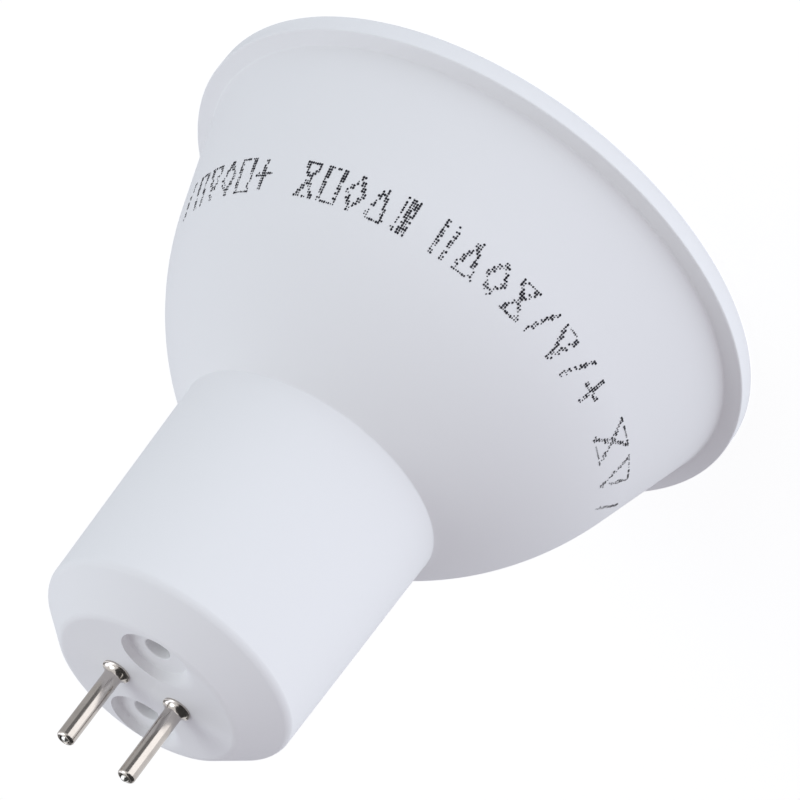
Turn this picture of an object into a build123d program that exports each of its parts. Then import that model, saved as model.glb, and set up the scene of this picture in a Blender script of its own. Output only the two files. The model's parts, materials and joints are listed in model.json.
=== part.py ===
from build123d import *
import math
import os

# Two-pin LED spot lamp, standing on its front rim with the contact pins up.
# The origin is the centre of the front rim's plane, +Z runs along the lamp towards the pins,
# and the two pins lie on the X axis. All sizes are in millimetres and degrees.

# Rim, bowl and neck of the housing
rim_radius = 25.0
rim_edge = 1.55
rim_round = 0.15
flange_width = 1.5
flange_rise = 0.2
flange_fillet = 0.4
bowl_draft = 17.4
bowl_cone_height = 9.3
bowl_height = 22.9
neck_root_radius = 11.25
neck_root_fillet = 0.35
neck_length = 19.6
neck_draft = 1.55
end_chamfer_height = 2.65
end_face_radius = 7.75
end_chamfer_round = 2.2
end_face_round = 0.8
wall = 1.4
end_wall = 2.2

# Front cover and its snap seat
rim_land = 2.1
cover_seat_depth = 1.2
cover_thickness = 1.0
cover_clearance = 0.15
cover_edge_round = 0.3
cover_ledge = 1.3
cover_bore_depth = 4.4
skirt_thickness = 0.9
skirt_length = 2.4
snap_bead = 0.3
snap_bead_height = 0.5
snap_offset = 1.6
snap_slots = 6
snap_slot_width = 2.0

# Two-pin base
pin_spacing = 5.33
pin_diameter = 1.45
pin_wall = 0.3
pin_length = 6.95
pin_tip_round = 0.25
collar_flare = 0.45
collar_height = 0.75
collar_lip = 0.15
pin_clearance = 0.02
boss_depth = 5.0
pin_boss_radius = 1.8

# Vacant stepped holes of the end face
vacant_spacing = 9.8
vacant_mouth_diameter = 5.3
vacant_mouth_depth = 1.2
vacant_hole_diameter = 2.5
vacant_hole_depth = 3.6
vacant_boss_radius = 2.1

# Heat cup, light board and its screws
cup_clearance = 0.15
cup_sheet = 1.0
cup_floor_height = 6.0
cup_depth = 10.0
wire_hole_radius = 2.6
led_board_thickness = 1.0
led_board_margin = 0.9
led_count = 12
led_ring_radius = 13.5
led_length = 3.5
led_width = 2.8
led_height = 0.7
led_window_radius = 1.1
led_window_depth = 0.2
screw_spacing = 18.0
screw_shank_radius = 1.1
screw_head_radius = 2.1
screw_head_height = 1.1
screw_length = 4.0
screw_clearance = 0.15
screw_slot_width = 0.6
screw_slot_span = 2.8
screw_slot_depth = 0.5

# Driver board and the guide slots that hold it
board_thickness = 1.0
board_offset = 2.0
board_length = 22.5
board_edge_gap = 0.35
board_slot_gap = 0.15
board_stop_gap = 0.2
guide_rib_thickness = 0.9
guide_rib_depth = 1.3
guide_rib_start = 0.3

# Parts on the driver board, placed from its lower edge and its middle line
part_gap = 0.1
lead_radius = 0.3
lead_bend = 0.6
capacitor_diameter = 6.3
capacitor_length = 11.0
capacitor_groove = 0.35
capacitor_groove_place = 1.1
capacitor_side = 3.7
capacitor_start = 1.5
capacitor_lead_spacing = 2.5
capacitor_lead_reach = 1.2
choke_diameter = 5.0
choke_height = 6.0
choke_flange = 1.0
choke_post_diameter = 2.2
choke_winding_diameter = 4.3
choke_side = 3.7
choke_place = 6.0
film_length = 7.0
film_width = 3.0
film_height = 5.5
film_round = 0.4
film_side = 4.2
film_place = 15.5
resistor_diameter = 2.4
resistor_length = 5.5
resistor_waist = 0.25
resistor_cap_length = 1.6
resistor_side = 2.6
resistor_place = 16.8
resistor_lead_reach = 0.8
rectifier_size = (4.7, 2.0, 3.9)
rectifier_place = (0.0, 17.0)
chip_size = (3.9, 1.5, 4.9)
chip_place = (-3.4, 9.0)
diode_size = (2.6, 2.1, 4.3)
diode_place = (4.4, 9.0)
package_lead_width = 0.5
package_lead_reach = 0.9
package_lead_thickness = 0.25
package_draft = 3.0
chip_resistor_size = (2.0, 0.5, 1.25)
chip_resistor_rows = 3
chip_resistor_columns = 2
chip_resistor_pitch = (4.0, 1.8)
chip_resistor_place = 3.2

# Wires
input_lead_gap = 0.075
input_lead_recess = 0.15
input_lead_drop = 2.9
input_lead_bend = 0.9
led_lead_radius = 0.5
led_lead_spacing = 2.0
led_lead_start = 0.8
led_lead_offset = 0.2
led_lead_bend = 1.2
led_lead_reach = 6.0

# Heights and radii that follow from the driving sizes
draft = math.radians(bowl_draft)
bowl_mouth_radius = rim_radius - flange_width
cover_seat_radius = rim_radius - rim_land
cover_bore_radius = cover_seat_radius - cover_ledge
bowl_mouth_z = rim_edge + flange_rise
cone_end_z = bowl_mouth_z + bowl_cone_height
cone_end_radius = bowl_mouth_radius - bowl_cone_height * math.tan(draft)
neck_root_z = bowl_mouth_z + bowl_height
neck_end_z = neck_root_z + neck_length
neck_end_radius = neck_root_radius - neck_length * math.tan(math.radians(neck_draft))
end_face_z = neck_end_z + end_chamfer_height
end_inside_z = end_face_z - end_wall
boss_floor_z = end_face_z - boss_depth
pin_radius = pin_diameter / 2
pin_bore_radius = pin_radius - pin_wall
collar_radius = pin_radius + collar_flare

# The bowl's rounded part is one arc, tangent to the cone and ending at the neck's root.
normal_r = math.cos(draft)
normal_z = math.sin(draft)
step_r = neck_root_radius - cone_end_radius
step_z = neck_root_z - cone_end_z
arc_radius = -(step_r**2 + step_z**2) / (2 * (step_r * normal_r + step_z * normal_z))
arc_center_r = cone_end_radius - arc_radius * normal_r
arc_center_z = cone_end_z - arc_radius * normal_z
cone_direction = (-math.sin(draft), math.cos(draft))


def cone_radius(z, inset):
    """Radius of the surface that runs parallel to the bowl's cone, inset inside it."""
    return bowl_mouth_radius - (z - bowl_mouth_z) * math.tan(draft) - inset / math.cos(draft)


def cone_end(inset):
    """Point where the parallel surface turns from cone to arc."""
    return (cone_end_radius - inset * normal_r, cone_end_z - inset * normal_z)


def arc_height(radius, inset):
    """Height at which the parallel arc has the given radius."""
    return arc_center_z + math.sqrt((arc_radius - inset) ** 2 - (radius - arc_center_r) ** 2)


def arc_reach(z, inset):
    """Radius of the parallel arc at the given height."""
    return arc_center_r + math.sqrt((arc_radius - inset) ** 2 - (z - arc_center_z) ** 2)


def neck_radius(z, inset):
    """Radius of the surface that runs parallel to the neck, inset inside it."""
    return neck_root_radius - (z - neck_root_z) * math.tan(math.radians(neck_draft)) - inset


# Inner corners of the housing's end, parallel to the outer chamfer
chamfer_r = neck_end_radius - end_face_radius
chamfer_slope = chamfer_r / end_chamfer_height
chamfer_inset = wall * math.hypot(1, chamfer_slope)
neck_inside_end = neck_end_radius - wall
chamfer_inside_z = neck_end_z + (wall - chamfer_inset) / chamfer_slope
end_inside_radius = neck_end_radius - chamfer_inset - (end_inside_z - neck_end_z) * chamfer_slope
neck_inside_root = neck_root_radius - wall
neck_inside_root_z = arc_height(neck_inside_root, wall)

os.makedirs("parts", exist_ok=True)

# Housing: one moulded shell
with BuildPart() as housing:
    with BuildSketch(Plane.XZ) as outer_form:
        with BuildLine():
            Polyline(
                (0, end_face_z),
                (0, 0),
                (rim_radius, 0),
                (rim_radius, rim_edge),
                (bowl_mouth_radius, bowl_mouth_z),
                (cone_end_radius, cone_end_z),
            )
            TangentArc(
                (cone_end_radius, cone_end_z), (neck_root_radius, neck_root_z), tangent=cone_direction
            )
            Polyline(
                (neck_root_radius, neck_root_z),
                (neck_end_radius, neck_end_z),
                (end_face_radius, end_face_z),
                (0, end_face_z),
            )
        make_face()
        for corner, radius in (
            ((rim_radius, 0), rim_round),
            ((rim_radius, rim_edge), rim_round),
            ((bowl_mouth_radius, bowl_mouth_z), flange_fillet),
            ((neck_root_radius, neck_root_z), neck_root_fillet),
            ((neck_end_radius, neck_end_z), end_chamfer_round),
            ((end_face_radius, end_face_z), end_face_round),
        ):
            fillet(outer_form.vertices().sort_by_distance((corner[0], corner[1], 0))[0], radius)
    revolve(axis=Axis.Z)

    # Hollow of the bowl and neck, with the cover's seat and snap groove at the front
    groove_start = cover_seat_depth + snap_offset - cover_clearance
    groove_end = cover_seat_depth + snap_offset + snap_bead_height + cover_clearance
    groove_radius = cover_bore_radius + snap_bead + cover_clearance
    with BuildSketch(Plane.XZ):
        with BuildLine():
            Polyline(
                (0, end_inside_z),
                (0, 0),
                (cover_seat_radius, 0),
                (cover_seat_radius, cover_seat_depth),
                (cover_bore_radius, cover_seat_depth),
                (cover_bore_radius, groove_start),
                (groove_radius, groove_start),
                (groove_radius, groove_end),
                (cover_bore_radius, groove_end),
                (cover_bore_radius, cover_bore_depth),
                (cone_radius(cover_bore_depth, wall), cover_bore_depth),
                cone_end(wall),
            )
            TangentArc(cone_end(wall), (neck_inside_root, neck_inside_root_z), tangent=cone_direction)
            Polyline(
                (neck_inside_root, neck_inside_root_z),
                (neck_inside_end, chamfer_inside_z),
                (end_inside_radius, end_inside_z),
                (0, end_inside_z),
            )
        make_face()
    revolve(axis=Axis.Z, mode=Mode.SUBTRACT)

    # Bosses inside the end wall carry the pins and close the vacant holes.
    with BuildSketch(Plane.XY.offset(boss_floor_z)):
        with GridLocations(pin_spacing, 0, 2, 1):
            Circle(pin_boss_radius)
        with GridLocations(0, vacant_spacing, 1, 2):
            Circle(vacant_boss_radius)
    extrude(amount=boss_depth - end_wall / 2)

    # Guide ribs in the neck hold the driver board's edges.
    rib_top = boss_floor_z - board_stop_gap
    rib_outer = neck_radius(rib_top, wall / 2)
    rib_inner = neck_radius(rib_top, wall) - guide_rib_depth
    rib_bottom = neck_root_z + guide_rib_start
    rib_step = board_thickness + 2 * board_slot_gap + guide_rib_thickness
    with BuildSketch(Plane.XY.offset(rib_bottom)):
        with Locations((0, -board_offset)):
            with GridLocations(rib_outer + rib_inner, rib_step, 2, 2):
                Rectangle(rib_outer - rib_inner, guide_rib_thickness)
        Circle(rib_outer, mode=Mode.INTERSECT)
    extrude(amount=rib_top - rib_bottom)

    # Bores of the two pins, through end wall and bosses
    with BuildSketch(Plane.XY.offset(boss_floor_z)):
        with GridLocations(pin_spacing, 0, 2, 1):
            Circle(pin_radius + pin_clearance)
    extrude(amount=boss_depth, mode=Mode.SUBTRACT)

    # Vacant stepped holes, blind
    with Locations(Plane.XY.offset(end_face_z)):
        with GridLocations(0, vacant_spacing, 1, 2):
            CounterBoreHole(
                vacant_hole_diameter / 2, vacant_mouth_diameter / 2, vacant_mouth_depth, vacant_hole_depth
            )
housing.part.label = "housing"
export_step(housing.part, "parts/housing.step")

# Diffuser: milky front cover with a slotted snap skirt
cover_front = cover_seat_depth - cover_thickness
cover_radius = cover_seat_radius - cover_clearance
skirt_radius = cover_bore_radius - cover_clearance
with BuildPart() as diffuser:
    with BuildSketch(Plane.XZ) as cover_form:
        with BuildLine():
            bead_start = cover_seat_depth + snap_offset
            bead_end = bead_start + snap_bead_height
            skirt_end = cover_seat_depth + skirt_length
            Polyline(
                (0, cover_front),
                (cover_radius, cover_front),
                (cover_radius, cover_seat_depth),
                (skirt_radius, cover_seat_depth),
                (skirt_radius, bead_start),
                (skirt_radius + snap_bead, bead_start + snap_bead_height / 2),
                (skirt_radius, bead_end),
                (skirt_radius, skirt_end),
                (skirt_radius - skirt_thickness, skirt_end),
                (skirt_radius - skirt_thickness, cover_seat_depth),
                (0, cover_seat_depth),
                close=True,
            )
        make_face()
        fillet(cover_form.vertices().sort_by_distance((cover_radius, cover_front, 0))[0], cover_edge_round)
    revolve(axis=Axis.Z)
    with BuildSketch(Plane.XY.offset(cover_seat_depth)):
        with PolarLocations(skirt_radius, snap_slots):
            Rectangle(2 * (skirt_thickness + snap_bead), snap_slot_width)
    extrude(amount=skirt_length, mode=Mode.SUBTRACT)
diffuser.part.label = "diffuser"
export_step(diffuser.part, "parts/diffuser.step")

# Heat cup: pressed sheet that lines the bowl, closed towards the front
cup_inset = wall + cup_clearance
cup_end_z = cup_floor_height + cup_depth
with BuildPart() as heat_cup:
    with BuildSketch(Plane.XZ):
        with BuildLine():
            outer_front = cone_radius(cup_floor_height, cup_inset)
            inner_inset = cup_inset + cup_sheet
            floor_back = cup_floor_height + cup_sheet
            Polyline(
                (arc_reach(cup_end_z, inner_inset), cup_end_z),
                (arc_reach(cup_end_z, cup_inset), cup_end_z),
            )
            TangentArc(
                cone_end(cup_inset), (arc_reach(cup_end_z, cup_inset), cup_end_z), tangent=cone_direction
            )
            Polyline(
                cone_end(cup_inset),
                (outer_front, cup_floor_height),
                (wire_hole_radius, cup_floor_height),
                (wire_hole_radius, floor_back),
                (cone_radius(floor_back, inner_inset), floor_back),
                cone_end(inner_inset),
            )
            TangentArc(
                cone_end(inner_inset),
                (arc_reach(cup_end_z, inner_inset), cup_end_z),
                tangent=cone_direction,
            )
        make_face()
    revolve(axis=Axis.Z)
    with BuildSketch(Plane.XY.offset(cup_floor_height)):
        with GridLocations(0, screw_spacing, 1, 2):
            Circle(screw_shank_radius + screw_clearance)
    extrude(amount=cup_sheet, mode=Mode.SUBTRACT)
heat_cup.part.label = "heat_cup"
export_step(heat_cup.part, "parts/heat_cup.step")

# Light board, flat on the cup's closed end
board_front_z = cup_floor_height - led_board_thickness
led_board_radius = cone_radius(cup_floor_height, cup_inset) - led_board_margin
with BuildPart() as led_board:
    with BuildSketch(Plane.XY.offset(board_front_z)):
        Circle(led_board_radius)
        Circle(wire_hole_radius, mode=Mode.SUBTRACT)
        with GridLocations(0, screw_spacing, 1, 2):
            Circle(screw_shank_radius + screw_clearance, mode=Mode.SUBTRACT)
    extrude(amount=led_board_thickness)
led_board.part.label = "led_board"
export_step(led_board.part, "parts/led_board.step")

# Light sources: one ring of separate packages, each with a round window, clear of the screws
led_first_angle = 180 / led_count
with BuildPart() as led_packages:
    with BuildSketch(Plane.XY.offset(board_front_z - led_height)):
        with PolarLocations(led_ring_radius, led_count, start_angle=led_first_angle):
            Rectangle(led_length, led_width)
    extrude(amount=led_height)
    with BuildSketch(Plane.XY.offset(board_front_z - led_height)):
        with PolarLocations(led_ring_radius, led_count, start_angle=led_first_angle):
            Circle(led_window_radius)
    extrude(amount=led_window_depth, mode=Mode.SUBTRACT)
led_packages.part.label = "led_packages"
export_step(led_packages.part, "parts/led_packages.step")

# Two screws through the light board into the cup, heads to the front
with BuildPart() as board_screws:
    with BuildSketch(Plane.XY.offset(board_front_z - screw_head_height)):
        with GridLocations(0, screw_spacing, 1, 2):
            Circle(screw_head_radius)
    extrude(amount=screw_head_height)
    with BuildSketch(Plane.XY.offset(board_front_z)):
        with GridLocations(0, screw_spacing, 1, 2):
            Circle(screw_shank_radius)
    extrude(amount=screw_length)
    with BuildSketch(Plane.XY.offset(board_front_z - screw_head_height)):
        with GridLocations(0, screw_spacing, 1, 2):
            Rectangle(screw_slot_span, screw_slot_width)
            Rectangle(screw_slot_width, screw_slot_span)
    extrude(amount=screw_slot_depth, mode=Mode.SUBTRACT)
board_screws.part.label = "board_screws"
export_step(board_screws.part, "parts/board_screws.step")

# Driver board, upright in the neck between the guide ribs
board_top = boss_floor_z - board_stop_gap
board_bottom = board_top - board_length
board_face = -board_offset + board_thickness / 2
board_back = -board_offset - board_thickness / 2
board_half_width = math.sqrt(neck_radius(board_top, wall) ** 2 - board_back**2) - board_edge_gap
with BuildPart() as driver_board:
    with BuildSketch(Plane.XY.offset(board_bottom)):
        with Locations((0, -board_offset)):
            Rectangle(2 * board_half_width, board_thickness)
    extrude(amount=board_length)
driver_board.part.label = "driver_board"
export_step(driver_board.part, "parts/driver_board.step")

# Storage capacitor: rolled-edge can lying along the board, its two leads bent down to it
capacitor_axis = board_face + part_gap + capacitor_diameter / 2
capacitor_z = board_bottom + capacitor_start
capacitor_top = capacitor_z + capacitor_length
capacitor_plane = Plane((-capacitor_side, capacitor_axis, capacitor_z))
with BuildPart() as storage_capacitor:
    with BuildSketch(Plane(capacitor_plane.origin, x_dir=(1, 0, 0), z_dir=(0, -1, 0))):
        with BuildLine():
            can_radius = capacitor_diameter / 2
            groove_z = capacitor_length - capacitor_groove_place
            Polyline(
                (0, 0),
                (can_radius, 0),
                (can_radius, groove_z - 2 * capacitor_groove),
                (can_radius - capacitor_groove, groove_z - capacitor_groove),
                (can_radius, groove_z),
                (can_radius, capacitor_length),
                (0, capacitor_length),
                close=True,
            )
        make_face()
    revolve(axis=Axis(capacitor_plane.origin, (0, 0, 1)))
    for side in (-1, 1):
        lead_x = -capacitor_side + side * capacitor_lead_spacing / 2
        with BuildLine() as capacitor_lead:
            FilletPolyline(
                (lead_x, capacitor_axis, capacitor_top),
                (lead_x, capacitor_axis, capacitor_top + capacitor_lead_reach),
                (lead_x, board_face, capacitor_top + capacitor_lead_reach),
                radius=lead_bend,
            )
        with BuildSketch(Plane((lead_x, capacitor_axis, capacitor_top))):
            Circle(lead_radius)
        sweep(path=capacitor_lead.wires()[0])
storage_capacitor.part.label = "storage_capacitor"
export_step(storage_capacitor.part, "parts/storage_capacitor.step")

# Choke: drum core standing on the board, and the copper between its flanges
choke_plane = Plane((choke_side, board_face, board_bottom + choke_place), x_dir=(1, 0, 0), z_dir=(0, 1, 0))
with BuildPart() as choke_core:
    with BuildSketch(choke_plane):
        Circle(choke_diameter / 2)
    extrude(amount=choke_flange)
    with BuildSketch(choke_plane.offset(choke_flange)):
        Circle(choke_post_diameter / 2)
    extrude(amount=choke_height - 2 * choke_flange)
    with BuildSketch(choke_plane.offset(choke_height - choke_flange)):
        Circle(choke_diameter / 2)
    extrude(amount=choke_flange)
choke_core.part.label = "choke_core"
export_step(choke_core.part, "parts/choke_core.step")

with BuildPart() as choke_winding:
    with BuildSketch(choke_plane.offset(choke_flange)):
        Circle(choke_winding_diameter / 2)
        Circle(choke_post_diameter / 2 + part_gap, mode=Mode.SUBTRACT)
    extrude(amount=choke_height - 2 * choke_flange)
choke_winding.part.label = "choke_winding"
export_step(choke_winding.part, "parts/choke_winding.step")

# Film capacitor: rounded box standing on the board
film_plane = Plane((film_side, board_face, board_bottom + film_place), x_dir=(1, 0, 0), z_dir=(0, 1, 0))
with BuildPart() as input_capacitor:
    with BuildSketch(film_plane):
        RectangleRounded(film_width, film_length, film_round)
    extrude(amount=film_height)
    fillet(input_capacitor.faces().sort_by(Axis.Y)[-1].edges(), film_round)
input_capacitor.part.label = "input_capacitor"
export_step(input_capacitor.part, "parts/input_capacitor.step")

# Fusible resistor: waisted body lying across the board, with its leads bent down to it
resistor_axis = board_face + part_gap + resistor_diameter / 2
resistor_z = board_bottom + resistor_place
resistor_plane = Plane((-resistor_side, resistor_axis, resistor_z), x_dir=(1, 0, 0), z_dir=(0, -1, 0))
with BuildPart() as fusible_resistor:
    with BuildSketch(resistor_plane):
        with BuildLine():
            half = resistor_length / 2
            cap_end = half - resistor_cap_length
            body_radius = resistor_diameter / 2
            Polyline(
                (-half, 0),
                (-half, body_radius - resistor_waist),
                (-half + resistor_waist, body_radius),
                (-cap_end, body_radius),
                (-cap_end + resistor_waist, body_radius - resistor_waist),
                (cap_end - resistor_waist, body_radius - resistor_waist),
                (cap_end, body_radius),
                (half - resistor_waist, body_radius),
                (half, body_radius - resistor_waist),
                (half, 0),
                close=True,
            )
        make_face()
    revolve(axis=Axis((-resistor_side, resistor_axis, resistor_z), (1, 0, 0)))
    for side in (-1, 1):
        lead_start = -resistor_side + side * resistor_length / 2
        lead_end = lead_start + side * resistor_lead_reach
        with BuildLine() as resistor_lead:
            FilletPolyline(
                (lead_start, resistor_axis, resistor_z),
                (lead_end, resistor_axis, resistor_z),
                (lead_end, board_face, resistor_z),
                radius=lead_bend,
            )
        lead_plane = Plane((lead_start, resistor_axis, resistor_z), x_dir=(0, 0, 1), z_dir=(side, 0, 0))
        with BuildSketch(lead_plane):
            Circle(lead_radius)
        sweep(path=resistor_lead.wires()[0])
fusible_resistor.part.label = "fusible_resistor"
export_step(fusible_resistor.part, "parts/fusible_resistor.step")


def package_plane(place):
    """Plane on the board's back face, centred on a package, its normal away from the board."""
    return Plane((place[0], board_back, board_bottom + place[1]), x_dir=(1, 0, 0), z_dir=(0, -1, 0))


# Packaged semiconductors on the board's back: a moulded body with flat leads on the board
def moulded_package(name, size, place, lead_rows):
    """Body of size (width, height, length) with lead_rows pairs of leads at its two sides."""
    width, height, length = size
    base = package_plane(place)
    with BuildPart() as package:
        with BuildSketch(base.offset(package_lead_thickness / 2)):
            Rectangle(width, length)
        extrude(amount=height - package_lead_thickness / 2, taper=package_draft)
        with BuildSketch(base):
            with GridLocations(0, length / lead_rows, 1, lead_rows):
                Rectangle(width + 2 * package_lead_reach, package_lead_width)
        extrude(amount=package_lead_thickness)
    package.part.label = name
    export_step(package.part, f"parts/{name}.step")


moulded_package("bridge_rectifier", rectifier_size, rectifier_place, 2)
moulded_package("driver_chip", chip_size, chip_place, 4)
moulded_package("freewheel_diode", diode_size, diode_place, 1)

# Chip resistors: a small grid on the board's back
with BuildPart() as chip_resistors:
    with BuildSketch(package_plane((0, chip_resistor_place))):
        with GridLocations(*chip_resistor_pitch, chip_resistor_columns, chip_resistor_rows):
            Rectangle(chip_resistor_size[0], chip_resistor_size[2])
    extrude(amount=chip_resistor_size[1])
chip_resistors.part.label = "chip_resistors"
export_step(chip_resistors.part, "parts/chip_resistors.step")

# Contact pins and their leads: hollow pins with a flared collar, each wire run through its pin
pin_tip_z = end_face_z + pin_length
lead_bottom = boss_floor_z - input_lead_drop
for name, side in (("left", -1), ("right", 1)):
    pin_x = side * pin_spacing / 2
    with BuildPart() as contact_pin:
        with BuildSketch(Plane((pin_x, 0, 0), x_dir=(1, 0, 0), z_dir=(0, -1, 0))) as pin_form:
            with BuildLine():
                Polyline(
                    (pin_bore_radius, boss_floor_z),
                    (pin_radius, boss_floor_z),
                    (pin_radius, end_face_z),
                    (collar_radius, end_face_z),
                    (collar_radius, end_face_z + collar_lip),
                )
                TangentArc(
                    (pin_radius, end_face_z + collar_height),
                    (collar_radius, end_face_z + collar_lip),
                    tangent=(0, -1),
                )
                Polyline(
                    (pin_radius, end_face_z + collar_height),
                    (pin_radius, pin_tip_z),
                    (pin_bore_radius, pin_tip_z),
                    (pin_bore_radius, boss_floor_z),
                )
            make_face()
            fillet(pin_form.vertices().sort_by_distance((pin_radius, pin_tip_z, 0))[0], pin_tip_round)
        revolve(axis=Axis((pin_x, 0, 0), (0, 0, 1)))
    contact_pin.part.label = f"contact_pin_{name}"
    export_step(contact_pin.part, f"parts/contact_pin_{name}.step")

    with BuildPart() as input_lead:
        with BuildLine() as lead_route:
            FilletPolyline(
                (pin_x, 0, pin_tip_z - input_lead_recess),
                (pin_x, 0, lead_bottom),
                (pin_x, board_face, lead_bottom),
                radius=input_lead_bend,
            )
        with BuildSketch(Plane((pin_x, 0, pin_tip_z - input_lead_recess), z_dir=(0, 0, -1))):
            Circle(pin_bore_radius - input_lead_gap)
        sweep(path=lead_route.wires()[0])
    input_lead.part.label = f"input_lead_{name}"
    export_step(input_lead.part, f"parts/input_lead_{name}.step")

# Wires from the driver to the light board, through the hole in cup and board
led_lead_z = board_front_z - led_lead_radius - part_gap
for name, side in (("positive", 1), ("negative", -1)):
    lead_x = side * led_lead_spacing / 2
    lead_start_z = board_bottom + led_lead_start
    with BuildPart() as led_lead:
        with BuildLine() as lead_route:
            FilletPolyline(
                (lead_x, board_face, lead_start_z),
                (lead_x, led_lead_offset, lead_start_z),
                (lead_x, led_lead_offset, led_lead_z),
                (side * led_lead_reach, led_lead_offset, led_lead_z),
                radius=led_lead_bend,
            )
        with BuildSketch(Plane((lead_x, board_face, lead_start_z), x_dir=(1, 0, 0), z_dir=(0, 1, 0))):
            Circle(led_lead_radius)
        sweep(path=lead_route.wires()[0])
    led_lead.part.label = f"led_lead_{name}"
    export_step(led_lead.part, f"parts/led_lead_{name}.step")
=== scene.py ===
"""Looks of a two-pin LED spot lamp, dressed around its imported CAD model.

The lamp stands on its front rim: +Z runs from the rim to the pins, and the pins lie on the X axis.
Sizes are in millimetres and degrees; Blender's own unit is the metre.
"""

import json
import logging
import math
import random
from collections.abc import Callable
from dataclasses import dataclass
from enum import Enum

import bmesh
import bpy
from mathutils import Matrix, Vector

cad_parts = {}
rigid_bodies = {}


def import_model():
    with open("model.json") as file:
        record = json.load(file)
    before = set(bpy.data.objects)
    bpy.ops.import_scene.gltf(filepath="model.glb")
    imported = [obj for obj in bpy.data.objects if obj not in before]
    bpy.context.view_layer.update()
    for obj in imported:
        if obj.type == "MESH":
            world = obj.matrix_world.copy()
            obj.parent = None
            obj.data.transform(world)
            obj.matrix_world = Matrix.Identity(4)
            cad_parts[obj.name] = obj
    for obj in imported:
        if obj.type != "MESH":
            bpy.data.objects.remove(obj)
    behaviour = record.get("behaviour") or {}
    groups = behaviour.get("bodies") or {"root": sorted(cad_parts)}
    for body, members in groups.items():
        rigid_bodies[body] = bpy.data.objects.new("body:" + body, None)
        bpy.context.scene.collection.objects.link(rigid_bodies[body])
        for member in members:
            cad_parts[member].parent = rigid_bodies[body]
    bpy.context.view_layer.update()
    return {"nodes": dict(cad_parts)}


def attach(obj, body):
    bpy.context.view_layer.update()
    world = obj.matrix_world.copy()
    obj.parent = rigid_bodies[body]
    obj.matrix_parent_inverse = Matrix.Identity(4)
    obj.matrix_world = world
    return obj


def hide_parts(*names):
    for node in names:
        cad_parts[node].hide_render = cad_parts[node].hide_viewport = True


LOG = logging.getLogger("spot_lamp")
MM = 0.001
TINY = 1e-3
MERGE = 1e-4
SAME = 0.01
BODY = "root"

Point = tuple[float, float]
Place = tuple[float, float, float]
Colour = tuple[float, float, float]

WHITE: Colour = (1.0, 1.0, 1.0)
BLACK: Colour = (0.0, 0.0, 0.0)


class Slot(Enum):
    """Material slots of the part's record."""

    HOUSING = "white_housing"
    COVER = "milky_cover"
    ALUMINIUM = "pressed_aluminium"
    LIGHT_BOARD = "white_board"
    LIGHT_SOURCE = "light_source"
    ZINC = "zinc_steel"
    DRIVER_BOARD = "green_board"
    SLEEVE = "capacitor_sleeve"
    FERRITE = "ferrite"
    COPPER = "copper_wire"
    FILM = "film_capacitor_case"
    ENAMEL = "resistor_enamel"
    EPOXY = "black_epoxy"
    NICKEL = "nickel_plate"
    TIN = "tinned_wire"
    RED = "red_insulation"
    BLACK = "black_insulation"


class Joinery(Enum):
    """Ways in which a tool body works on a piece."""

    JOIN = "UNION"
    CUT = "DIFFERENCE"


class Element(Enum):
    """Mesh elements that can be picked in edit mode."""

    CORNER = "VERT"
    FACE = "FACE"


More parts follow.
